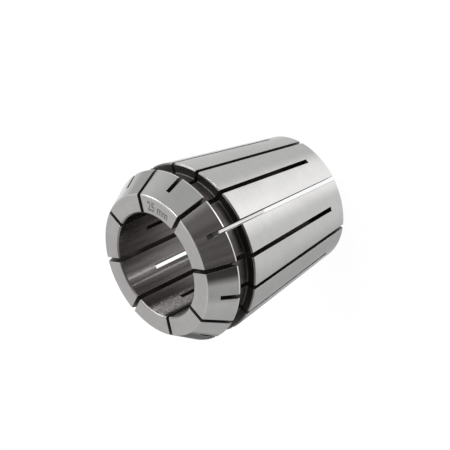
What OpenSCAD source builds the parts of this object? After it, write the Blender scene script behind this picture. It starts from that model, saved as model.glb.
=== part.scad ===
// Clamping collet for round shanks: one turned steel sleeve, slit from both ends.
// It stands on its rear end. The axis is Z, and the nose points up.
// Heights are measured from the rear end, and radii from the axis.

/* [Sleeve] */
// Length from the rear end to the nose face
overall_l = 46; // [42:0.5:54]
// Diameter of the bore, which is the largest shank it grips
bore_d = 25; // [12:0.5:26]
// Chamfer at the bore's nose mouth
nose_mouth = 0.3; // [0.1:0.05:0.8]
// Chamfer at the bore's rear mouth
rear_mouth = 0.4; // [0.1:0.05:0.8]

/* [Seat cone] */
// Diameter at the seat cone's large end, next to the groove
seat_d = 41; // [39:0.5:44]
// Angle between the seat cone's side and the axis
seat_angle = 8; // [6:0.5:9]
// Radial size of the chamfer at the seat cone's large end
seat_edge = 0.4; // [0.1:0.05:0.8]
// Height of the chamfer at the seat cone's large end
seat_edge_h = 0.3; // [0.1:0.05:0.8]
// Chamfer round the rear end
rear_edge = 0.3; // [0.1:0.05:0.6]

/* [Head] */
// How far the rim stands out past the seat cone's large end, on the radius
rim_out = 0.05; // [-0.3:0.05:0.8]
// Height of the nose cone
nose_cone_l = 6.2; // [5:0.1:7.2]
// Angle between the nose cone's side and the axis
nose_angle = 30; // [26:0.5:32]
// Height of the cylindrical rim behind the nose cone
rim_l = 0.5; // [0.3:0.05:2]
// Chamfer at the back edge of the rim and round the nose face
head_edge = 0.15; // [0.05:0.05:0.25]

/* [Pull groove] */
// Width of the groove that the nut's ring pulls on
groove_w = 4.6; // [3:0.1:6]
// Depth of the groove below the seat cone's large end
groove_depth = 2.4; // [1.2:0.1:3.2]
// Radius of the fillets beside the groove's floor
groove_fillet = 0.4; // [0.1:0.05:0.8]

/* [Slits] */
// Slits that are open at the nose, and as many that are open at the rear
slits_per_end = 8; // [4:1:10]
// Width of a slit
slit_w = 1; // [0.5:0.1:1.6]
// Steel left on the seat cone between the rear end and a nose slit
nose_slit_stop = 4.7; // [2.5:0.1:8]
// Height left on the nose cone between the nose face and a rear slit
rear_slit_stop = 2.7; // [1.5:0.1:4]
// Diameter of the saw that cuts the slits
saw_d = 50; // [40:1:70]
// Depth that the saw reaches below the bore's wall
saw_under = 4.2; // [2:0.1:5]

/* [Hidden] */
$fn = 240;

steel = [0.72, 0.72, 0.73];
beyond = 1; // how far a cut runs past the steel

bore_r = bore_d / 2;
seat_r = seat_d / 2;
saw_r = saw_d / 2;
rim_r = seat_r + rim_out;
nose_r = rim_r - nose_cone_l * tan(nose_angle);
groove_r = seat_r - groove_depth;

// Heights of the rim, the groove's two walls and the seat cone's large end
rim_z = overall_l - nose_cone_l;
head_z = rim_z - rim_l;
groove_z = head_z - groove_w;
seat_z = groove_z - seat_edge_h;

// Radius of each cone at a height
function seat_cone_r(z) = seat_r - (seat_z - z) * tan(seat_angle);
function nose_cone_r(z) = nose_r + (overall_l - z) * tan(nose_angle);

// The saw's axis stands off the collet's axis, level with the end of full depth
saw_axis_r = bore_r - saw_under + saw_r;
function saw_reach(r) = sqrt(saw_r ^ 2 - (saw_axis_r - r) ^ 2);

// Section of the sleeve on one side of the axis, with square corners in the groove
module turned_blank() {
    polygon([
        [bore_r + rear_mouth, 0],
        [seat_cone_r(rear_edge) - rear_edge, 0],
        [seat_cone_r(rear_edge), rear_edge],
        [seat_r, seat_z],
        [seat_r - seat_edge, groove_z],
        [groove_r, groove_z],
        [groove_r, head_z],
        [rim_r - head_edge, head_z],
        [rim_r, head_z + head_edge],
        [rim_r, rim_z],
        [nose_cone_r(overall_l - head_edge), overall_l - head_edge],
        [nose_r - head_edge, overall_l],
        [bore_r + nose_mouth, overall_l],
        [bore_r, overall_l - nose_mouth],
        [bore_r, rear_mouth]
    ]);
}

// Fillet in one corner of the groove: up is 1 at the rear wall and -1 at the head
module groove_corner(z, up) {
    translate([groove_r, z])
        difference() {
            translate([-beyond, up > 0 ? -beyond : -groove_fillet])
                square([groove_fillet + beyond, groove_fillet + beyond]);
            translate([groove_fillet, up * groove_fillet])
                circle(r = groove_fillet);
        }
}

// The whole turned sleeve, before it is slit
module turned_sleeve() {
    rotate_extrude() {
        turned_blank();
        groove_corner(groove_z, 1);
        groove_corner(head_z, -1);
    }
}

// Path of the saw in one radial plane, from its stop out through an end
module saw_path(axis_z, open_z) {
    translate([saw_axis_r, axis_z])
        circle(r = saw_r);
    translate([saw_axis_r - saw_r, min(axis_z, open_z)])
        square([saw_r, abs(open_z - axis_z)]);
}

// One slit in the plane of the angle 0
module slit(axis_z, open_z) {
    rotate([90, 0, 0])
        linear_extrude(height = slit_w, center = true)
            saw_path(axis_z, open_z);
}

// Slit that is open at the nose and stops on the seat cone
module nose_slit() {
    slit(nose_slit_stop + saw_reach(seat_cone_r(nose_slit_stop)), overall_l + beyond);
}

// Slit that is open at the rear and stops on the nose cone
module rear_slit() {
    stop_z = overall_l - rear_slit_stop;
    slit(stop_z - saw_reach(nose_cone_r(stop_z)), -beyond);
}

// The collet: nose slits and rear slits take turns round the sleeve
module collet() {
    pitch = 360 / slits_per_end;
    color(steel)
        difference() {
            turned_sleeve();
            for (i = [0 : slits_per_end - 1]) {
                rotate([0, 0, i * pitch])
                    rear_slit();
                rotate([0, 0, (i + 0.5) * pitch])
                    nose_slit();
            }
        }
}

collet();
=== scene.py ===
"""Looks of a slit clamping collet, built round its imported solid.

The sleeve is made again as one closed mesh of the same form, with its edges lightly broken,
so that each edge catches the light. Lengths are written in millimetres and turned into metres
by MM. The axis is Z, the rear end stands on the floor and the nose points up.
"""

import math

import bmesh
import bpy
from mathutils import Matrix, Vector


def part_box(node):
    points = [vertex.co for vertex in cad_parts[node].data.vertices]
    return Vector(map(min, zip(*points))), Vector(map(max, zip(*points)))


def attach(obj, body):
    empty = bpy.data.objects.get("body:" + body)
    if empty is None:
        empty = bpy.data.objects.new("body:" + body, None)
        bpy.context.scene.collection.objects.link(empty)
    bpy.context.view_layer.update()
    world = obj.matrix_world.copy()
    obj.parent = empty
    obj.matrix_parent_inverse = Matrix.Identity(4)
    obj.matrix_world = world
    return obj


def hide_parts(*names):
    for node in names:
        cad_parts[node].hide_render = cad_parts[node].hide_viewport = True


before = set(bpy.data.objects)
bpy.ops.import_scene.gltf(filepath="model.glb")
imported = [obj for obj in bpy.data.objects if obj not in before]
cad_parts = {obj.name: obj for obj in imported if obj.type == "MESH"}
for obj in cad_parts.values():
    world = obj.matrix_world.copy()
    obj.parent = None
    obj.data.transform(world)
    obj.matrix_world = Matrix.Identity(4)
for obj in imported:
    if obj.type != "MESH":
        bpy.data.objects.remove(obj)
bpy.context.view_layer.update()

MM = 0.001

# Sleeve, as the solid has it
REAR_Z, NOSE_Z = (corner.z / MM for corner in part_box("collet"))
BORE_R = 12.5
BORE_NOSE_CHAMFER = 0.3
BORE_REAR_CHAMFER = 0.4
SEAT_R = 20.5
SEAT_ANGLE = math.radians(8)
SEAT_CHAMFER_R = 0.4
SEAT_CHAMFER_Z = 0.3
REAR_CHAMFER = 0.3
RIM_R = 20.55
RIM_HEIGHT = 0.5
NOSE_CONE_HEIGHT = 6.2
NOSE_ANGLE = math.radians(30)
HEAD_CHAMFER = 0.15
GROOVE_R = 18.1
GROOVE_WIDTH = 4.6
GROOVE_FILLET = 0.4

# Slits: a disc saw leaves a round end inside the wall
SLITS_PER_END = 8
SLIT_HALF = 0.5
SAW_R = 25.0
SAW_AXIS_R = 33.3
NOSE_SLIT_STOP = 4.7
REAR_SLIT_STOP = 2.7

# Edges: how far each sharp edge is broken, and how finely curves are divided
TURNED_EDGE = 0.075
SEAT_EDGE_ROUNDING = 0.11
SLIT_EDGE = 0.09
PETAL_COLUMNS = 12
FILLET_STEPS = 6
SAW_END_STEPS = 8

# Heights, radii and angles that follow
RIM_Z = NOSE_Z - NOSE_CONE_HEIGHT
HEAD_Z = RIM_Z - RIM_HEIGHT
GROOVE_Z = HEAD_Z - GROOVE_WIDTH
SEAT_Z = GROOVE_Z - SEAT_CHAMFER_Z
FACE_R = RIM_R - NOSE_CONE_HEIGHT * math.tan(NOSE_ANGLE)
SLITS = 2 * SLITS_PER_END
SLIT_PITCH = 2 * math.pi / SLITS
LIP_HALF = SLIT_HALF + SLIT_EDGE

# Marks on the steel. A contrast is the noise that gives 0 and the noise that gives 1
RING_CONTRAST = (0.36, 0.64)
CLOUD_CONTRAST = (0.32, 0.68)
SPECK_CONTRAST = (0.52, 0.74)
HAIRLINE_CONTRAST = (0.66, 0.74)
HAIRLINE_TURNS = ((0.35, 0.2, 0.6), (1.1, -0.5, 0.2))
HAIRLINE_STRETCH = (1.0, 0.03, 0.12)
STAIN_SIZE = 1.6
RING_TONE, CLOUD_TONE, STAIN_TONE = 0.35, 0.35, 0.30
CLOUD_ROUGHNESS, SPECK_ROUGHNESS = 0.6, 0.3

# Marks and painted light in the bore. A sector is its direction from the axis, its half width and the softness of its
# sides, in degrees.
# The worn, rubbed patch is rougher and carries a painted pool of light. Its mottle runs from its weakest share to its
# strongest, and its painted light's diffuse share is the share of it that isn't bare metal
RUB_AND_LIGHT_SECTOR = (230.5, 7.5, 7.5)
RUB_AND_LIGHT_FADE_Z = (29.0, 34.0)
RUB_AND_LIGHT_CONTRAST, RUB_AND_LIGHT_MOTTLE = (0.36, 0.64), (0.32, 1.0)
RUB_ROUGHNESS = 0.5
RUB_PAINTED_LIGHT_DIFFUSE = 0.9
RUB_PAINTED_LIGHT_TONE = (0.93, 0.89, 0.87)
# A painted reflection on one side of the bore: a dark band, and a light patch under it nearer the rear
PAINTED_REFLECTION_SECTOR = (176.0, 5.0, 4.0)
PAINTED_REFLECTION_SPLIT_Z = (15.6, 16.2)
DARK_REFLECTION_END_Z = (19.0, 25.0)
PAINTED_REFLECTION_STRENGTH = 0.97
PAINTED_REFLECTION_RAGGED = 1.2
PAINTED_DARK_REFLECTION_TONE = (0.03, 0.027, 0.026)
PAINTED_BRIGHT_REFLECTION_TONE = (0.58, 0.555, 0.545)
STRIP_SECTOR = (186.0, 7.0, 1.5)
STRIP_ROUGHNESS = 0.11

# Size mark: its figures' height, the radius of their feet, the direction of its middle, and its length
MARK_TEXT = "25 mm"
MARK_HEIGHT = 2.3
MARK_BASE_R = 13.65
MARK_MIDDLE = math.radians(45.5)
MARK_LENGTH = 6.6
MARK_BOLDNESS = 0.018
# How far it stands over the nose face and reaches into the steel, and how near two of its points become one
MARK_RAISE, MARK_DEPTH = 0.004, 0.03
MARK_WELD = 0.0001

# Camera
CAMERA_EYE = Vector((318.549, -8.530, 271.237)) * MM
CAMERA_AIM = Vector((3.141, 1.361, 25.433)) * MM
CAMERA_UP = Vector((0.2925, 0.8940, -0.3393))
CAMERA_LENS = 138.80

# Floor: its half width in metres, its own tone, and the white that the camera sees in its place
FLOOR_HALF = 3.0
FLOOR_TONE = 0.78
FLOOR_WHITE = 1.10
FLOOR_WHITE_SHARE = 0.86

# The studio's own directions: its top, the side that opens to the camera, and its right side
TENT_TOP = Vector((0.731, 0.668, 0.139)).normalized()
TENT_FRONT = Vector((0.4136, -0.5958, 0.6885)).normalized()
TENT_RIGHT = Vector((0.5428, -0.4458, -0.7118)).normalized()

# The tent's cloth. A height is the share of the tent's top in a direction, from -1 at its foot to 1 at its top
CLOTH_HEIGHTS, CLOTH_LEVELS = (-0.95, -0.2), (0.56, 0.75)
CROWN_HEIGHTS, CROWN_SHADE = (0.3, 0.95), 0.2

# Its dark opening: (elevation, azimuth) of the middle, and the full and outer radius, in degrees
OPENING_MIDDLE = (30, 15)
OPENING_RADII = (41, 62)
OPENING_TINT = (1.06, 0.96, 0.98)
TABLE_HEIGHTS, TABLE_RAGGED = (-0.19, 0.05), 0.14
GLOOM_HEIGHTS, GLOOM_LEVELS = (0.1, 0.5), (0.055, 0.15)
GLOOM_CONTRAST, GLOOM_GAINS = (0.35, 0.65), (0.75, 1.3)

# Its lighter and darker patches: (elevation, azimuth), full and outer radius in degrees, gain
TENT_PATCHES = (
    ((24, 122), (12, 29), 0.53),
    ((-5, 100), (10, 30), 0.10),
    ((-32, -165), (6, 22), 0.25),
    ((4, -144), (3, 18), -0.20),
    ((-64, -172), (6, 22), -0.40),
    ((-14, 22), (10, 28), -0.25),
    ((38, 100), (8, 22), 0.90),
    ((-50, 122), (6, 22), -0.08),
)


def seat_cone_r(z):
    return SEAT_R - (SEAT_Z - z) * math.tan(SEAT_ANGLE)


def nose_cone_r(z):
    return FACE_R + (NOSE_Z - z) * math.tan(NOSE_ANGLE)


def saw_reach(r):
    """Height of the saw's rim above or below its axis, at a radius of the collet."""
    return math.sqrt(SAW_R ** 2 - (SAW_AXIS_R - r) ** 2)


# Helpers for materials and light

def add_node(tree, kind, settings=None, **inputs):
    """Adds a node. Its inputs, values or links, are named by socket with _ for a space, or by i and a number."""
    made = tree.nodes.new(kind)
    for name, value in (settings or {}).items():
        setattr(made, name, value)
    for name, value in inputs.items():
        key = int(name[1:]) if name[0] == "i" and name[1:].isdigit() else name.replace("_", " ")
        if isinstance(value, bpy.types.NodeSocket):
            tree.links.new(value, made.inputs[key])
        else:
            made.inputs[key].default_value = value
    return made


def math_node(tree, operation, a, b=0.0, c=0.0, clamp=False):
    made = add_node(tree, "ShaderNodeMath", {"operation": operation, "use_clamp": clamp}, i0=a, i1=b, i2=c)
    return made.outputs[0]


def vector_node(tree, operation, a, b=(0.0, 0.0, 0.0)):
    made = add_node(tree, "ShaderNodeVectorMath", {"operation": operation}, i0=a, i1=b)
    return made.outputs["Value" if operation in ("LENGTH", "DOT_PRODUCT") else "Vector"]


def scaled(tree, vector, by):
    return add_node(tree, "ShaderNodeVectorMath", {"operation": "SCALE"}, Vector=vector, Scale=by).outputs[0]


def noise(tree, where, scale, detail=2.0, roughness=0.5):
    made = add_node(tree, "ShaderNodeTexNoise", Vector=where, Scale=scale, Detail=detail, Roughness=roughness)
    return made.outputs[0]


def ramp(tree, value, given=(0.0, 1.0), result=(0.0, 1.0), smooth=True):
    """Turns the given range into the result's range, and holds its ends outside it."""
    kind = {"interpolation_type": "SMOOTHSTEP" if smooth else "LINEAR"}
    made = add_node(tree, "ShaderNodeMapRange", kind, Value=value, From_Min=given[0], From_Max=given[1],
                    To_Min=result[0], To_Max=result[1])
    return made.outputs["Result"]


def blend(tree, share, first, second):
    return add_node(tree, "ShaderNodeMix", {"data_type": "FLOAT"}, i0=share, i2=first, i3=second).outputs[0]


def mix_colours(tree, share, first, second):
    made = add_node(tree, "ShaderNodeMix", {"data_type": "RGBA"})
    for socket, value in ((made.inputs[0], share), (made.inputs[6], first), (made.inputs[7], second)):
        if isinstance(value, bpy.types.NodeSocket):
            tree.links.new(value, socket)
        else:
            socket.default_value = value if isinstance(value, (float, int)) else (*value, 1.0)
    return made.outputs[2]


def bump(tree, height, depth):
    return add_node(tree, "ShaderNodeBump", Height=height, Distance=depth * MM, Strength=1.0).outputs[0]


def new_group(name, inputs, outputs):
    """A shader node group with named float inputs and outputs. Gives the tree, its inputs and its outputs."""
    tree = bpy.data.node_groups.new(name, "ShaderNodeTree")
    for socket, default in inputs.items():
        made = tree.interface.new_socket(socket, in_out="INPUT", socket_type="NodeSocketFloat")
        made.default_value = default
    for socket in outputs:
        tree.interface.new_socket(socket, in_out="OUTPUT", socket_type="NodeSocketFloat")
    return tree, tree.nodes.new("NodeGroupInput").outputs, tree.nodes.new("NodeGroupOutput").inputs


def place_group(tree, group, **values):
    return add_node(tree, "ShaderNodeGroup", {"node_tree": group}, **values).outputs


def position_mm(tree):
    """Object position in millimetres, its height, and its distance from the axis."""
    place = add_node(tree, "ShaderNodeTexCoord").outputs["Object"]
    place = scaled(tree, place, 1 / MM)
    height = add_node(tree, "ShaderNodeSeparateXYZ", Vector=place).outputs["Z"]
    radius = vector_node(tree, "LENGTH", vector_node(tree, "MULTIPLY", place, (1.0, 1.0, 0.0)))
    return place, height, radius


# Effects shared by the finishes

def grinding_marks_group():
    """Fine rings that a wheel or a lathe tool leaves round the axis. Flat is 1 on a flat end, 0 on a cone."""
    tree, given, out = new_group(
        "grinding marks", {"Lines per mm": 8.0, "Ring length": 0.25, "Flat": 0.0}, ("Height", "Shade"))
    place, height, radius = position_mm(tree)
    across = blend(tree, given["Flat"], height, radius)
    run = scaled(tree, vector_node(tree, "MULTIPLY", place, (1.0, 1.0, 0.0)), given["Ring length"])
    lines = math_node(tree, "MULTIPLY", across, given["Lines per mm"])
    lines = add_node(tree, "ShaderNodeCombineXYZ", Z=lines).outputs[0]
    where = vector_node(tree, "ADD", run, lines)
    fine = noise(tree, where, 1.0, detail=3.0, roughness=0.65)
    broad = noise(tree, where, 0.13)
    tree.links.new(fine, out["Height"])
    shade = blend(tree, 0.55, fine, broad)
    tree.links.new(ramp(tree, shade, RING_CONTRAST), out["Shade"])
    return tree


def handling_group():
    """Uneven tone of bare steel: broad clouds, and the small dull specks of handling."""
    tree, given, out = new_group("handling", {"Cloud size mm": 9.0, "Speck size mm": 0.5}, ("Clouds", "Specks"))
    place, _height, _radius = position_mm(tree)
    broad = math_node(tree, "DIVIDE", 1.0, given["Cloud size mm"])
    small = math_node(tree, "DIVIDE", 1.0, given["Speck size mm"])
    clouds = noise(tree, place, broad, detail=3.0, roughness=0.55)
    specks = noise(tree, place, small, roughness=0.6)
    tree.links.new(ramp(tree, clouds, CLOUD_CONTRAST), out["Clouds"])
    tree.links.new(ramp(tree, specks, SPECK_CONTRAST), out["Specks"])
    return tree


def hairlines_group():
    """Sparse straight hairlines from handling and sliding in a holder."""
    tree, given, out = new_group("hairlines", {"Lines per mm": 2.0, "Share": 0.3}, ("Lines",))
    place, _height, _radius = position_mm(tree)
    found = []
    for turn in HAIRLINE_TURNS:
        turned = add_node(tree, "ShaderNodeMapping", {"vector_type": "POINT"}, Vector=place, Rotation=turn,
                          Scale=HAIRLINE_STRETCH).outputs[0]
        found.append(ramp(tree, noise(tree, turned, given["Lines per mm"], detail=1.0), HAIRLINE_CONTRAST))
    lines = math_node(tree, "MULTIPLY", math_node(tree, "MAXIMUM", *found), given["Share"])
    tree.links.new(lines, out["Lines"])
    return tree


def saw_marks_group():
    """Arcs that the slitting saw leaves on the walls of a slit, round the saw's own axis."""
    tree, given, out = new_group("saw marks", {"Lines per mm": 4.0}, ("Height",))
    _place, height, radius = position_mm(tree)
    off_axis = math_node(tree, "SUBTRACT", SAW_AXIS_R, radius)
    above = math_node(tree, "SUBTRACT", height, NOSE_Z / 2)
    arc = math_node(tree, "SQRT", math_node(tree, "ADD", math_node(tree, "POWER", off_axis, 2.0),
                                            math_node(tree, "POWER", above, 2.0)))
    rings = math_node(tree, "MULTIPLY", arc, given["Lines per mm"])
    marks = add_node(tree, "ShaderNodeTexNoise", {"noise_dimensions": "1D"}, W=rings, Scale=1.0, Detail=3.0)
    tree.links.new(marks.outputs[0], out["Height"])
    return tree


def bore_wear_and_light_group():
    """Masks for the bore: a mottled, rubbed patch near the nose that also carries painted light, a painted dark
    reflection with a painted bright reflection under it, and a burnished strip.
    """
    tree, _given, out = new_group("bore masks: worn patch, painted light and reflection", {}, ("Rub and painted light", "Painted dark reflection", "Painted bright reflection", "Strip"))
    place, height, _radius = position_mm(tree)

    def sector(middle, half, soft):
        """1 within half an angle of a direction from the axis, in degrees."""
        turned = math.radians(middle)
        side = vector_node(tree, "DOT_PRODUCT", place, (math.cos(turned) / BORE_R, math.sin(turned) / BORE_R, 0.0))
        return ramp(tree, side, (math.cos(math.radians(half + soft)), math.cos(math.radians(half - soft))))

    grain = vector_node(tree, "MULTIPLY", place, (1.0, 1.0, 3.0))
    # The rubbed patch, which also carries a painted pool of light
    mottle = ramp(tree, noise(tree, grain, 1.3), RUB_AND_LIGHT_CONTRAST, RUB_AND_LIGHT_MOTTLE)
    rub_and_light = math_node(tree, "MULTIPLY", sector(*RUB_AND_LIGHT_SECTOR), mottle)
    rub_and_light = math_node(tree, "MULTIPLY", rub_and_light, ramp(tree, height, RUB_AND_LIGHT_FADE_Z))
    tree.links.new(rub_and_light, out["Rub and painted light"])
    # The painted reflection: a dark band, and a light patch under it
    ragged = noise(tree, place, 0.9, detail=3.0)
    edge = math_node(tree, "ADD", height, math_node(tree, "MULTIPLY_ADD", ragged, PAINTED_REFLECTION_RAGGED, -PAINTED_REFLECTION_RAGGED / 2))
    above = ramp(tree, edge, PAINTED_REFLECTION_SPLIT_Z)
    run = math_node(tree, "MULTIPLY", sector(*PAINTED_REFLECTION_SECTOR), PAINTED_REFLECTION_STRENGTH)
    dark_reflection = math_node(tree, "SUBTRACT", above, ramp(tree, edge, DARK_REFLECTION_END_Z))
    tree.links.new(math_node(tree, "MULTIPLY", dark_reflection, run), out["Painted dark reflection"])
    tree.links.new(math_node(tree, "MULTIPLY", math_node(tree, "SUBTRACT", 1.0, above), run), out["Painted bright reflection"])
    tree.links.new(sector(*STRIP_SECTOR), out["Strip"])
    return tree


GRINDING = grinding_marks_group()
HANDLING = handling_group()
HAIRLINES = hairlines_group()
SAW_MARKS = saw_marks_group()
BORE_WEAR_AND_LIGHT = bore_wear_and_light_group()


# Finishes

def new_metal(name):
    """A bare metal material. Gives the material, its tree and its shader."""
    material = bpy.data.materials.new(name)
    material.use_nodes = True
    shader = material.node_tree.nodes["Principled BSDF"]
    shader.inputs["Metallic"].default_value = 1.0
    return material, material.node_tree, shader


def steel_finish(name, light, dark, smooth, dull, lines_per_mm, ring_length=0.25, flat=0.0, mark_depth=0.0006):
    """Bare steel. Tone runs from dark to light and roughness from smooth to dull, by its marks and clouds."""
    material, tree, shader = new_metal(name)
    marks = place_group(tree, GRINDING, Lines_per_mm=lines_per_mm, Ring_length=ring_length, Flat=flat)
    touch = place_group(tree, HANDLING, Cloud_size_mm=9.0)
    scratch = place_group(tree, HAIRLINES, Share=0.2)
    stains = place_group(tree, HANDLING, Cloud_size_mm=STAIN_SIZE)
    tone = math_node(tree, "MULTIPLY", marks["Shade"], RING_TONE)
    tone = math_node(tree, "MULTIPLY_ADD", touch["Clouds"], CLOUD_TONE, tone)
    tone = math_node(tree, "MULTIPLY_ADD", stains["Clouds"], STAIN_TONE, tone)
    tree.links.new(mix_colours(tree, tone, dark, light), shader.inputs["Base Color"])
    rough = math_node(tree, "MULTIPLY", math_node(tree, "SUBTRACT", 1.0, touch["Clouds"]), CLOUD_ROUGHNESS)
    rough = math_node(tree, "MULTIPLY_ADD", touch["Specks"], SPECK_ROUGHNESS, rough)
    rough = math_node(tree, "ADD", rough, scratch["Lines"], clamp=True)
    tree.links.new(blend(tree, rough, smooth, dull), shader.inputs["Roughness"])
    height = math_node(tree, "SUBTRACT", marks["Height"], math_node(tree, "MULTIPLY", scratch["Lines"], 0.6))
    tree.links.new(bump(tree, height, mark_depth), shader.inputs["Normal"])
    return material


def bore_finish():
    """Honed bore. It is dull where shanks rubbed inside the nose, with a painted pool of light there, and has a painted
    dark reflection half-way and a painted bright reflection nearer the rear.
    """
    material = steel_finish("honed bore", light=(0.50, 0.48, 0.475), dark=(0.45, 0.43, 0.425), smooth=0.16, dull=0.24,
                            lines_per_mm=6.0, ring_length=0.05, mark_depth=0.00012)
    tree = material.node_tree
    shader = tree.nodes["Principled BSDF"]
    wear_and_light = place_group(tree, BORE_WEAR_AND_LIGHT)
    colour = shader.inputs["Base Color"].links[0].from_socket
    for mask, tone in (("Painted bright reflection", PAINTED_BRIGHT_REFLECTION_TONE), ("Painted dark reflection", PAINTED_DARK_REFLECTION_TONE), ("Rub and painted light", RUB_PAINTED_LIGHT_TONE)):
        colour = mix_colours(tree, wear_and_light[mask], colour, tone)
    tree.links.new(colour, shader.inputs["Base Color"])
    rough = shader.inputs["Roughness"].links[0].from_socket
    for mask, value in (("Strip", STRIP_ROUGHNESS), ("Rub and painted light", RUB_ROUGHNESS)):
        rough = blend(tree, wear_and_light[mask], rough, value)
    tree.links.new(rough, shader.inputs["Roughness"])
    bare = math_node(tree, "SUBTRACT", 1.0, math_node(tree, "MULTIPLY", wear_and_light["Rub and painted light"], RUB_PAINTED_LIGHT_DIFFUSE))
    tree.links.new(bare, shader.inputs["Metallic"])
    return material


def sawn_finish(name, light, dark, metal=1.0, shine=0.5):
    """Dull wall of a slit, with the arcs of the saw. Its tone, darker than the steel, is painted shade."""
    material, tree, shader = new_metal(name)
    shader.inputs["Metallic"].default_value = metal
    shader.inputs["Specular IOR Level"].default_value = shine
    shader.inputs["Specular Tint"].default_value = (0.5, 0.48, 0.47, 1.0)
    arcs = place_group(tree, SAW_MARKS, Lines_per_mm=5.0)["Height"]
    touch = place_group(tree, HANDLING, Cloud_size_mm=4.0)
    tree.links.new(mix_colours(tree, touch["Clouds"], dark, light), shader.inputs["Base Color"])
    tree.links.new(blend(tree, touch["Specks"], 0.45, 0.6), shader.inputs["Roughness"])
    tree.links.new(bump(tree, arcs, 0.004), shader.inputs["Normal"])
    return material


def etched_finish():
    """Grey-brown etched metal, uneven in depth."""
    material, tree, shader = new_metal("etched number")
    touch = place_group(tree, HANDLING, Cloud_size_mm=0.7, Speck_size_mm=0.2)
    tone = mix_colours(tree, touch["Clouds"], (0.17, 0.158, 0.155), (0.33, 0.315, 0.31))
    tree.links.new(tone, shader.inputs["Base Color"])
    tree.links.new(blend(tree, touch["Specks"], 0.5, 0.7), shader.inputs["Roughness"])
    return material


# The finish of each surface of the sleeve
FINISHES = {
    "seat_cone": steel_finish("ground seat cone", light=(0.635, 0.63, 0.625), dark=(0.575, 0.57, 0.565),
                              smooth=0.18, dull=0.30, lines_per_mm=7.0, ring_length=0.06, mark_depth=0.0004),
    "nose_cone": steel_finish("polished nose cone", light=(0.62, 0.615, 0.61), dark=(0.56, 0.555, 0.55),
                              smooth=0.05, dull=0.12, lines_per_mm=8.0, ring_length=0.06, mark_depth=0.00012),
    "nose_face": steel_finish("satin nose face", light=(0.585, 0.575, 0.57), dark=(0.50, 0.49, 0.485),
                              smooth=0.34, dull=0.46, lines_per_mm=7.0, flat=1.0),
    "rear_face": steel_finish("turned rear face", light=(0.58, 0.575, 0.57), dark=(0.48, 0.475, 0.47),
                              smooth=0.30, dull=0.45, lines_per_mm=5.0, flat=1.0, mark_depth=0.0012),
    # Rim and broken edges: their tones, lighter than the steel, are painted highlights
    "rim": steel_finish("rim with painted highlight", light=(0.90, 0.895, 0.89), dark=(0.82, 0.815, 0.81),
                        smooth=0.18, dull=0.30, lines_per_mm=9.0),
    "edge": steel_finish("broken edge", light=(0.88, 0.875, 0.87), dark=(0.80, 0.795, 0.79),
                         smooth=0.28, dull=0.38, lines_per_mm=9.0),
    # Chamfer at the groove's edge: its dark tone is painted shade that dims what it mirrors
    "chamfer": steel_finish("turned chamfer with painted shade", light=(0.27, 0.26, 0.255), dark=(0.21, 0.20, 0.195),
                            smooth=0.30, dull=0.40, lines_per_mm=9.0),
    "lip": steel_finish("deburred slit lip", light=(0.57, 0.565, 0.56), dark=(0.49, 0.485, 0.48),
                        smooth=0.26, dull=0.36, lines_per_mm=9.0),
    # Bore mouth bevel: its darker tone is painted shade that dims its highlight
    "mouth": steel_finish("deburred bore mouth with painted shade", light=(0.36, 0.35, 0.345), dark=(0.29, 0.28, 0.275),
                          smooth=0.35, dull=0.45, lines_per_mm=9.0),
    "face_edge": steel_finish("broken face edge", light=(0.66, 0.655, 0.65), dark=(0.58, 0.575, 0.57),
                              smooth=0.20, dull=0.30, lines_per_mm=9.0),
    # Groove: its dark tones, far below the steel's, are painted shade for the recess
    "groove": steel_finish("dull groove with painted shade", light=(0.19, 0.177, 0.17), dark=(0.075, 0.069, 0.066),
                           smooth=0.40, dull=0.50, lines_per_mm=4.0, ring_length=0.06, mark_depth=0.0012),
    "groove_wall": steel_finish("groove wall with painted shade", light=(0.14, 0.13, 0.125), dark=(0.07, 0.065, 0.062),
                                smooth=0.42, dull=0.52, lines_per_mm=4.0, ring_length=0.06, mark_depth=0.0012),
    "bore": bore_finish(),
    # Slit walls and root: painted shade, darker than the steel, and near black at the root
    "slit": sawn_finish("sawn slit wall with painted shade", light=(0.32, 0.30, 0.29), dark=(0.22, 0.205, 0.20)),
    "slit_root": sawn_finish("slit root with painted shade", light=(0.014, 0.013, 0.012), dark=(0.007, 0.006, 0.006),
                             metal=0.0, shine=0.05),
}
SURFACES = list(FINISHES)


# The sleeve's section

def unit(dr, dz):
    length = math.hypot(dr, dz)
    return dr / length, dz / length


def section_corners():
    """Corners of the section as (radius, height, surface that follows, fillet), up the outside and down the bore."""
    return [
        (BORE_R + BORE_REAR_CHAMFER, REAR_Z, "rear_face", 0),
        (seat_cone_r(REAR_CHAMFER) - REAR_CHAMFER, REAR_Z, "edge", 0),
        (seat_cone_r(REAR_CHAMFER), REAR_Z + REAR_CHAMFER, "seat_cone", 0),
        (SEAT_R, SEAT_Z, "chamfer", SEAT_EDGE_ROUNDING),
        (SEAT_R - SEAT_CHAMFER_R, GROOVE_Z, "groove_wall", 0),
        (GROOVE_R, GROOVE_Z, "groove", GROOVE_FILLET),
        (GROOVE_R, HEAD_Z, "groove", GROOVE_FILLET),
        (RIM_R - HEAD_CHAMFER, HEAD_Z, "edge", 0),
        (RIM_R, HEAD_Z + HEAD_CHAMFER, "rim", 0),
        (RIM_R, RIM_Z, "nose_cone", 0),
        (nose_cone_r(NOSE_Z - HEAD_CHAMFER), NOSE_Z - HEAD_CHAMFER, "face_edge", 0),
        (FACE_R - HEAD_CHAMFER, NOSE_Z, "nose_face", 0),
        (BORE_R + BORE_NOSE_CHAMFER, NOSE_Z, "mouth", 0),
        (BORE_R, NOSE_Z - BORE_NOSE_CHAMFER, "bore", 0),
        (BORE_R, REAR_Z + BORE_REAR_CHAMFER, "edge", 0),
    ]


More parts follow.
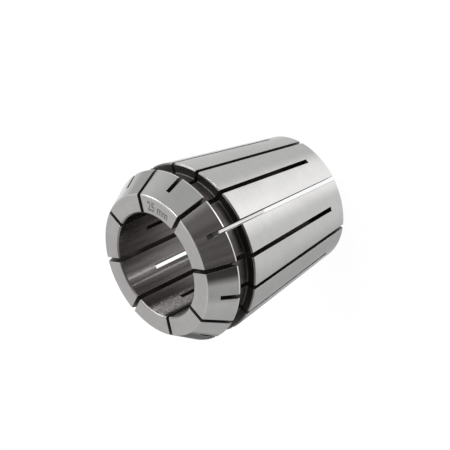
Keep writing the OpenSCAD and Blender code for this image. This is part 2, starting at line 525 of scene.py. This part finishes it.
def rounded_section():
    """Stations round the section: (radius, height, outward normal, surface up to the next station)."""
    corners = section_corners()
    stations = []
    for i, (r, z, surface, fillet) in enumerate(corners):
        before, after = corners[i - 1], corners[(i + 1) % len(corners)]
        come = unit(r - before[0], z - before[1])
        leave = unit(after[0] - r, after[1] - z)
        normal_in, normal_out = (come[1], -come[0]), (leave[1], -leave[0])
        cut = fillet or TURNED_EDGE
        start = (r - come[0] * cut, z - come[1] * cut)
        end = (r + leave[0] * cut, z + leave[1] * cut)
        keeps_finish = fillet or before[2] in ("edge", "face_edge", "mouth")
        stations.append((*start, normal_in, before[2] if keeps_finish else surface))
        for step in range(1, FILLET_STEPS if fillet else 1):
            turn = step / FILLET_STEPS * math.pi / 2
            a, b = 1 - math.sin(turn), 1 - math.cos(turn)
            place = (r - come[0] * cut * a + leave[0] * cut * b, z - come[1] * cut * a + leave[1] * cut * b)
            turned = unit(normal_in[0] * math.cos(turn) + normal_out[0] * math.sin(turn),
                          normal_in[1] * math.cos(turn) + normal_out[1] * math.sin(turn))
            stations.append((*place, turned, before[2]))
        stations.append((*end, normal_out, surface))
    return stations


def add_station(stations, surface, z):
    """Puts a station at a height into the straight length of a surface."""
    for i, (r0, z0, normal, kind) in enumerate(stations):
        r1, z1, normal_1, _kind = stations[(i + 1) % len(stations)]
        if kind == surface and normal == normal_1 and min(z0, z1) < z < max(z0, z1):
            r = r0 + (r1 - r0) * (z - z0) / (z1 - z0)
            stations.insert(i + 1, (r, z, normal, kind))
            return
    raise ValueError(f"no straight length of {surface} has the height {z}")


def station_at(stations, surface, z):
    return next(i for i, s in enumerate(stations) if s[3] == surface and abs(s[1] - z) < 1e-9)


def slit_plan(stations):
    """Adds the stations where slits end. Gives each kind of slit's axis height, and its first and last open station."""
    nose_axis_z = NOSE_SLIT_STOP + saw_reach(seat_cone_r(NOSE_SLIT_STOP))
    rear_stop_z = NOSE_Z - REAR_SLIT_STOP
    rear_axis_z = rear_stop_z - saw_reach(nose_cone_r(rear_stop_z))
    # Each end is its surface, its height, and the way that its lip lies from it
    ends = {
        "nose": (nose_axis_z, ("seat_cone", NOSE_SLIT_STOP, -1), ("bore", nose_axis_z - saw_reach(BORE_R), -1)),
        "rear": (rear_axis_z, ("bore", rear_axis_z + saw_reach(BORE_R), 1), ("nose_cone", rear_stop_z, 1)),
    }
    for _axis_z, *both in ends.values():
        for surface, z, away in both:
            add_station(stations, surface, z + away * SLIT_EDGE)
    plan = {}
    for name, (axis_z, *both) in ends.items():
        first, last = (station_at(stations, surface, z + away * SLIT_EDGE) for surface, z, away in both)
        plan[name] = {"axis_z": axis_z, "first": first, "first_z": both[0][1], "last": last, "last_z": both[1][1]}
    return plan


def saw_end(kind):
    """Points down the round end of a slit as (radius, height, normal), from its last station to its first."""
    axis_z = kind["axis_z"]
    side = 1 if kind["last_z"] > axis_z else -1
    start, end = (math.asin(min(1.0, abs(z - axis_z) / SAW_R)) for z in (kind["last_z"], kind["first_z"]))
    trim = SLIT_EDGE / SAW_R * (1 if end > start else -1)
    start, end = start + trim, end - trim
    points = []
    for step in range(SAW_END_STEPS + 1):
        angle = start + (end - start) * step / SAW_END_STEPS
        out_r, out_z = -math.cos(angle), side * math.sin(angle)
        points.append((SAW_AXIS_R + SAW_R * out_r, axis_z + SAW_R * out_z, (-out_r, -out_z)))
    return points


# The sleeve's mesh

def around(r, offset, z, angle):
    """A point at a radius, at a sideways offset from the plane of an angle."""
    along = math.sqrt(r * r - offset * offset)
    c, s = math.cos(angle), math.sin(angle)
    return along * c - offset * s, along * s + offset * c, z


def turned_normal(normal, angle):
    """A normal of the section, turned round the axis."""
    nr, nz = normal
    return nr * math.cos(angle), nr * math.sin(angle), nz


class Skin:
    """A mesh as it is put together: shared points, and faces with a surface and a normal at each corner."""

    def __init__(self):
        self.places, self.number, self.faces, self.surfaces, self.normals = [], {}, [], [], []

    def point(self, key, place):
        if key not in self.number:
            self.number[key] = len(self.places)
            self.places.append(Vector(place) * MM)
        return self.number[key]

    def face(self, corners, surface):
        """corners is a list of (point number, normal), counter-clockwise from outside."""
        self.faces.append([number for number, _normal in corners])
        self.normals += [tuple(normal) for _number, normal in corners]
        self.surfaces.append(SURFACES.index(surface))

    def finish(self, name):
        mesh = bpy.data.meshes.new(name)
        mesh.from_pydata(self.places, [], self.faces)
        for surface in SURFACES:
            mesh.materials.append(FINISHES[surface])
        mesh.polygons.foreach_set("material_index", self.surfaces)
        mesh.shade_smooth()
        mesh.normals_split_custom_set(self.normals)
        made = bpy.data.objects.new(name, mesh)
        bpy.context.scene.collection.objects.link(made)
        return made


class Sleeve:
    """The slit sleeve: petals between the slits, bridges where a slit is shut, and the slits' own walls."""

    def __init__(self):
        self.stations = rounded_section()
        self.plan = slit_plan(self.stations)
        self.skin = Skin()

    def following(self, i):
        return (i + 1) % len(self.stations)

    def lip(self, slit, i, side):
        """Corner of the skin beside a slit, or on its centre line for side 0: (number, normal)."""
        r, z, normal, _surface = self.stations[i]
        angle = slit * SLIT_PITCH
        number = self.skin.point(("lip", slit % SLITS, i, side), around(r, side * LIP_HALF, z, angle))
        return number, turned_normal(normal, angle + side * math.asin(LIP_HALF / r))

    def lip_surface(self, i):
        """The broken edge of a slit has its own finish, but in the groove and in the bore it takes theirs, with the
        groove's painted shade in the groove.
        """
        surface = self.stations[i][3]
        return surface if surface in ("groove", "groove_wall", "bore") else "lip"

    def petal_corner(self, petal, i, step):
        """Corner of a petal's skin, at a step from its first slit to its second: (number, normal)."""
        if step == 0:
            return self.lip(petal, i, 1)
        if step == PETAL_COLUMNS:
            return self.lip(petal + 1, i, -1)
        r, z, normal, _surface = self.stations[i]
        inset = math.asin(LIP_HALF / r)
        angle = petal * SLIT_PITCH + inset + (SLIT_PITCH - 2 * inset) * step / PETAL_COLUMNS
        return self.skin.point(("petal", petal, i, step), around(r, 0, z, angle)), turned_normal(normal, angle)

    def add_petal(self, petal):
        for i, station in enumerate(self.stations):
            j = self.following(i)
            for step in range(PETAL_COLUMNS):
                corners = ((i, step), (i, step + 1), (j, step + 1), (j, step))
                self.skin.face([self.petal_corner(petal, *corner) for corner in corners], station[3])

    def add_bridge(self, slit, kind):
        """The skin across a slit, where it is shut."""
        count = len(self.stations)
        for n in range((kind["first"] - kind["last"]) % count):
            i = (kind["last"] + n) % count
            j = self.following(i)
            for a, b in ((-1, 0), (0, 1)):
                corners = ((i, a), (i, b), (j, b), (j, a))
                self.skin.face([self.lip(slit, *corner) for corner in corners], self.stations[i][3])

    def add_walls(self, slit, kind):
        """Both walls of a slit with their broken edges, and its round end."""
        first, last = kind["first"], kind["last"]
        angle = slit * SLIT_PITCH
        round_end = saw_end(kind)
        count = len(self.stations)
        run = [(first + n) % count for n in range((last - first) % count + 1)]

        def end_point(step, side):
            r, z, _normal = round_end[step]
            return self.skin.point(("end", slit, step, side), around(r, side * SLIT_HALF, z, angle))

        def end_corner(step, side):
            return end_point(step, side), turned_normal(round_end[step][2], angle)

        def wall_point(i, side):
            if i == last:
                return end_point(0, side)
            if i == first:
                return end_point(SAW_END_STEPS, side)
            r, z, (nr, nz), _surface = self.stations[i]
            place = around(r - SLIT_EDGE * nr, side * SLIT_HALF, z - SLIT_EDGE * nz, angle)
            return self.skin.point(("wall", slit, i, side), place)

        for side in (1, -1):
            inward = (side * math.sin(angle), -side * math.cos(angle), 0.0)
            for i, j in zip(run, run[1:]):
                strip = [self.lip(slit, i, side), self.lip(slit, j, side),
                         (wall_point(j, side), inward), (wall_point(i, side), inward)]
                self.skin.face(strip if side > 0 else strip[::-1], self.lip_surface(i))
            wall = [wall_point(i, side) for i in run] + [end_point(k, side) for k in range(1, SAW_END_STEPS)]
            self.skin.face([(number, inward) for number in (wall if side > 0 else wall[::-1])], "slit")

        for a, b in ((-1, 0), (0, 1)):
            for k in range(SAW_END_STEPS):
                corners = ((k + 1, b), (k, b), (k, a), (k + 1, a))
                self.skin.face([end_corner(*corner) for corner in corners], "slit_root")
            self.skin.face([self.lip(slit, last, b), self.lip(slit, last, a), end_corner(0, a), end_corner(0, b)],
                           "slit_root")
            self.skin.face([self.lip(slit, first, a), self.lip(slit, first, b), end_corner(SAW_END_STEPS, b),
                            end_corner(SAW_END_STEPS, a)], "slit_root")

    def build(self):
        for petal in range(SLITS):
            self.add_petal(petal)
        for slit in range(SLITS):
            kind = self.plan["rear" if slit % 2 == 0 else "nose"]
            self.add_bridge(slit, kind)
            self.add_walls(slit, kind)
        return self.skin.finish("slit_sleeve")


sleeve = Sleeve().build()
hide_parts("collet")
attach(sleeve, "root")


# The size mark

def etch_size_mark():
    """The shank size in plain figures, etched along the nose face and read from the axis outwards.

    The figures are thin closed plates let into the face, so that the mesh has no open sheet."""
    font = bpy.data.curves.new("size_mark", "FONT")
    font.body = MARK_TEXT
    font.align_x = "CENTER"
    font.resolution_u = 6
    font.offset = MARK_BOLDNESS
    font.extrude = MARK_DEPTH
    flat = bpy.data.objects.new("size_mark_flat", font)
    mesh = bpy.data.meshes.new_from_object(flat)
    bpy.data.objects.remove(flat)
    left, right = min(v.co.x for v in mesh.vertices), max(v.co.x for v in mesh.vertices)
    height = max(v.co.y for v in mesh.vertices) - min(v.co.y for v in mesh.vertices)
    sweep = MARK_LENGTH / (MARK_BASE_R + MARK_HEIGHT / 2)
    for vertex in mesh.vertices:
        r = MARK_BASE_R + vertex.co.y * MARK_HEIGHT / height
        angle = MARK_MIDDLE - (vertex.co.x - (left + right) / 2) / (right - left) * sweep
        z = NOSE_Z + (MARK_RAISE if vertex.co.z > 0 else -MARK_DEPTH)
        vertex.co = Vector((r * math.cos(angle), r * math.sin(angle), z)) * MM
    plates = bmesh.new()
    plates.from_mesh(mesh)
    bmesh.ops.remove_doubles(plates, verts=plates.verts, dist=MARK_WELD * MM)
    plates.to_mesh(mesh)
    plates.free()
    mesh.materials.clear()
    mesh.materials.append(etched_finish())
    mark = bpy.data.objects.new("size_mark", mesh)
    bpy.context.scene.collection.objects.link(mark)
    return mark


mark = etch_size_mark()
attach(mark, "root")


# Camera, floor and light

def place_camera():
    data = bpy.data.cameras.new("camera")
    data.lens = CAMERA_LENS
    data.sensor_width = 36.0
    data.clip_start, data.clip_end = 0.01, 20.0
    camera = bpy.data.objects.new("camera", data)
    bpy.context.scene.collection.objects.link(camera)
    ahead = (CAMERA_AIM - CAMERA_EYE).normalized()
    right = ahead.cross(CAMERA_UP).normalized()
    up = right.cross(ahead)
    turn = Matrix((right, up, -ahead)).transposed().to_4x4()
    camera.matrix_world = Matrix.Translation(CAMERA_EYE) @ turn
    bpy.context.scene.camera = camera


def lay_floor():
    """A pale floor that the camera sees nearly white, with the collet's shadow faintly on it."""
    mesh = bpy.data.meshes.new("floor")
    corners = [(x * FLOOR_HALF, y * FLOOR_HALF, 0) for x, y in ((-1, -1), (1, -1), (1, 1), (-1, 1))]
    mesh.from_pydata(corners, [], [(0, 1, 2, 3)])
    floor = bpy.data.objects.new("floor", mesh)
    bpy.context.scene.collection.objects.link(floor)
    material = bpy.data.materials.new("pale floor")
    material.use_nodes = True
    tree = material.node_tree
    tree.nodes.clear()
    paper = add_node(tree, "ShaderNodeBsdfDiffuse", Color=(FLOOR_TONE, FLOOR_TONE, FLOOR_TONE, 1.0)).outputs[0]
    glow = add_node(tree, "ShaderNodeEmission", Color=(1.0, 1.0, 1.0, 1.0), Strength=FLOOR_WHITE).outputs[0]
    seen = add_node(tree, "ShaderNodeLightPath").outputs["Is Camera Ray"]
    share = math_node(tree, "MULTIPLY", seen, FLOOR_WHITE_SHARE)
    shown = add_node(tree, "ShaderNodeMixShader", i0=share, i1=paper, i2=glow).outputs[0]
    add_node(tree, "ShaderNodeOutputMaterial", Surface=shown)
    mesh.materials.append(material)
    floor.visible_glossy = False


def tent_direction(elevation, azimuth):
    """A direction in the tent, in degrees: azimuth 0 is the open front, and 90 the right side."""
    el, az = math.radians(elevation), math.radians(azimuth)
    flat = TENT_FRONT * math.cos(az) + TENT_RIGHT * math.sin(az)
    return flat * math.cos(el) + TENT_TOP * math.sin(el)


def pitch_tent():
    """A light tent: pale cloth all round with lighter and darker patches, and a dark opening at the front."""
    world = bpy.data.worlds.new("light tent")
    world.use_nodes = True
    bpy.context.scene.world = world
    tree = world.node_tree
    tree.nodes.clear()
    facing = vector_node(tree, "NORMALIZE", add_node(tree, "ShaderNodeTexCoord").outputs["Generated"])

    def disc(middle, radii):
        """1 within the full radius of a direction, and 0 outside the outer one."""
        full, outer = (math.cos(math.radians(radius)) for radius in radii)
        return ramp(tree, vector_node(tree, "DOT_PRODUCT", facing, tuple(tent_direction(*middle))), (outer, full))

    height = vector_node(tree, "DOT_PRODUCT", facing, tuple(TENT_TOP))
    crown = math_node(tree, "MULTIPLY", ramp(tree, height, CROWN_HEIGHTS), CROWN_SHADE)
    level = math_node(tree, "SUBTRACT", ramp(tree, height, CLOTH_HEIGHTS, CLOTH_LEVELS), crown)
    for middle, radii, gain in TENT_PATCHES:
        level = math_node(tree, "MULTIPLY_ADD", disc(middle, radii), gain, level)
    shapes = noise(tree, facing, 6.0)
    table_edge = math_node(tree, "MULTIPLY_ADD", shapes, TABLE_RAGGED, height)
    opening = math_node(tree, "MULTIPLY", disc(OPENING_MIDDLE, OPENING_RADII), ramp(tree, table_edge, TABLE_HEIGHTS))
    gloom = math_node(tree, "MULTIPLY", ramp(tree, height, GLOOM_HEIGHTS, GLOOM_LEVELS),
                      ramp(tree, shapes, GLOOM_CONTRAST, GLOOM_GAINS, smooth=False))
    level = blend(tree, opening, level, gloom)
    cloth = mix_colours(tree, opening, (1.0, 1.0, 1.0), OPENING_TINT)
    tent = add_node(tree, "ShaderNodeBackground", Color=cloth, Strength=level).outputs[0]
    white = add_node(tree, "ShaderNodeBackground", Color=(1.0, 1.0, 1.0, 1.0), Strength=1.0).outputs[0]
    seen = add_node(tree, "ShaderNodeLightPath").outputs["Is Camera Ray"]
    shown = add_node(tree, "ShaderNodeMixShader", i0=seen, i1=tent, i2=white).outputs[0]
    add_node(tree, "ShaderNodeOutputWorld", Surface=shown)


def hang_lamp(name, azimuth, elevation, distance, size, power):
    """A square soft lamp over the floor, aimed at the collet. Angles in degrees, lengths in metres."""
    data = bpy.data.lights.new(name, "AREA")
    data.shape, data.size, data.energy = "SQUARE", size, power
    lamp = bpy.data.objects.new(name, data)
    bpy.context.scene.collection.objects.link(lamp)
    az, el = math.radians(azimuth), math.radians(elevation)
    away = Vector((math.cos(az) * math.cos(el), math.sin(az) * math.cos(el), math.sin(el)))
    middle = Vector((0.0, 0.0, NOSE_Z / 2 * MM))
    lamp.location = middle + away * distance
    lamp.rotation_mode = "QUATERNION"
    lamp.rotation_quaternion = (-away).to_track_quat("-Z", "Y")


place_camera()
lay_floor()
pitch_tent()
hang_lamp("top softbox", azimuth=125, elevation=62, distance=0.9, size=0.8, power=0.5)
hang_lamp("side lamp", azimuth=102, elevation=31, distance=0.6, size=0.22, power=0.62)
hang_lamp("bore lamp", azimuth=62, elevation=38, distance=0.6, size=0.16, power=0.6)

bpy.context.scene.view_settings.view_transform = "Standard"
